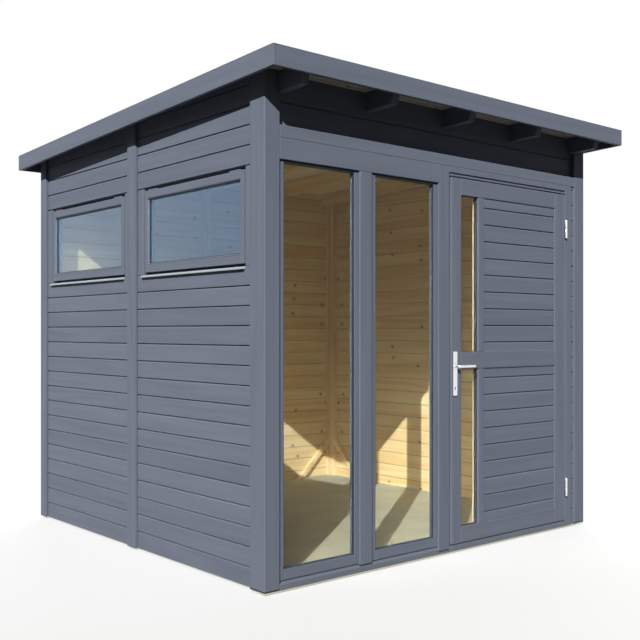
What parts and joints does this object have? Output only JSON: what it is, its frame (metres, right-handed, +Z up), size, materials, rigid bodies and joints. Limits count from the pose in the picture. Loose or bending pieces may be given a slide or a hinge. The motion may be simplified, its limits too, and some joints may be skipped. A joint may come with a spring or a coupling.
{
  "type": "garden office pod",
  "caption": "Square timber garden office with a lean-to roof, tall corner windows, high side windows and a part-glazed boarded door",
  "frame": {"origin": "on the ground, under the middle of the roof outline", "axes": "+Z up; -Y is the front wall with the door; -X is the side wall with the high windows; +X is to the right seen from the front"},
  "size_m": [2.57, 2.67, 2.355],
  "materials": {
    "painted_timber": "satin grey-blue paint over planed softwood",
    "natural_timber": "bare planed spruce with knots",
    "window_glass": "clear float glass",
    "roofing_felt": "dark mineral roofing sheet",
    "bright_steel": "zinc-plated hinge steel",
    "satin_alloy": "satin anodised handle"
  },
  "bodies": {
    "cabin": {"floor_bearers": "natural_timber", "floor_deck": "natural_timber", "corner_post_front_left": "painted_timber", "corner_post_front_right": "painted_timber", "corner_post_back_left": "painted_timber", "corner_post_back_right": "painted_timber", "left_wall_front_panel": "painted_timber", "left_wall_back_panel": "painted_timber", "right_wall_front_panel": "painted_timber", "right_wall_back_panel": "painted_timber", "back_wall_left_panel": "painted_timber", "back_wall_right_panel": "painted_timber", "left_cover_strip": "painted_timber", "right_cover_strip": "painted_timber", "back_cover_strip": "painted_timber", "left_wall_studs": "natural_timber", "right_wall_studs": "natural_timber", "back_wall_studs": "natural_timber", "knee_braces": "natural_timber", "side_window_front_frame": "painted_timber", "side_window_front_sash": "painted_timber", "side_window_front_glass": "window_glass", "side_window_back_frame": "painted_timber", "side_window_back_sash": "painted_timber", "side_window_back_glass": "window_glass", "window_sills": "painted_timber", "front_base_board": "painted_timber", "mullion_centre": "painted_timber", "mullion_door": "painted_timber", "window_head_board": "painted_timber", "header_beam": "painted_timber", "front_head_boards": "painted_timber", "tall_window_left_frame": "painted_timber", "tall_window_left_glass": "window_glass", "tall_window_right_frame": "painted_timber", "tall_window_right_glass": "window_glass", "door_frame": "painted_timber", "hinge_frame_knuckles": "bright_steel", "rafters": "painted_timber", "roof_boards": "natural_timber", "fascia_front": "painted_timber", "fascia_back": "painted_timber", "fascia_left": "painted_timber", "fascia_right": "painted_timber", "roof_felt": "roofing_felt"},
    "door": {"door_leaf_frame": "painted_timber", "door_boarding": "painted_timber", "door_glass": "window_glass", "hinge_leaf_knuckles": "bright_steel", "handle_plates": "satin_alloy"},
    "lever": {"lever_handle": "satin_alloy"}
  },
  "joints": [
    {"name": "door_hinge", "type": "hinge", "parent": "cabin", "child": "door", "pos_m": [0.9975, -1.1435, 0], "axis": [0, 0, 1], "range_deg": [0, 110]},
    {"name": "lever_turn", "type": "hinge", "parent": "door", "child": "lever", "pos_m": [0.035, -1.113, 0.976], "axis": [0, 1, 0], "range_deg": [0, 45], "stiffness_Nm_per_rad": 1.5, "springref_deg": -28.65}
  ]
}
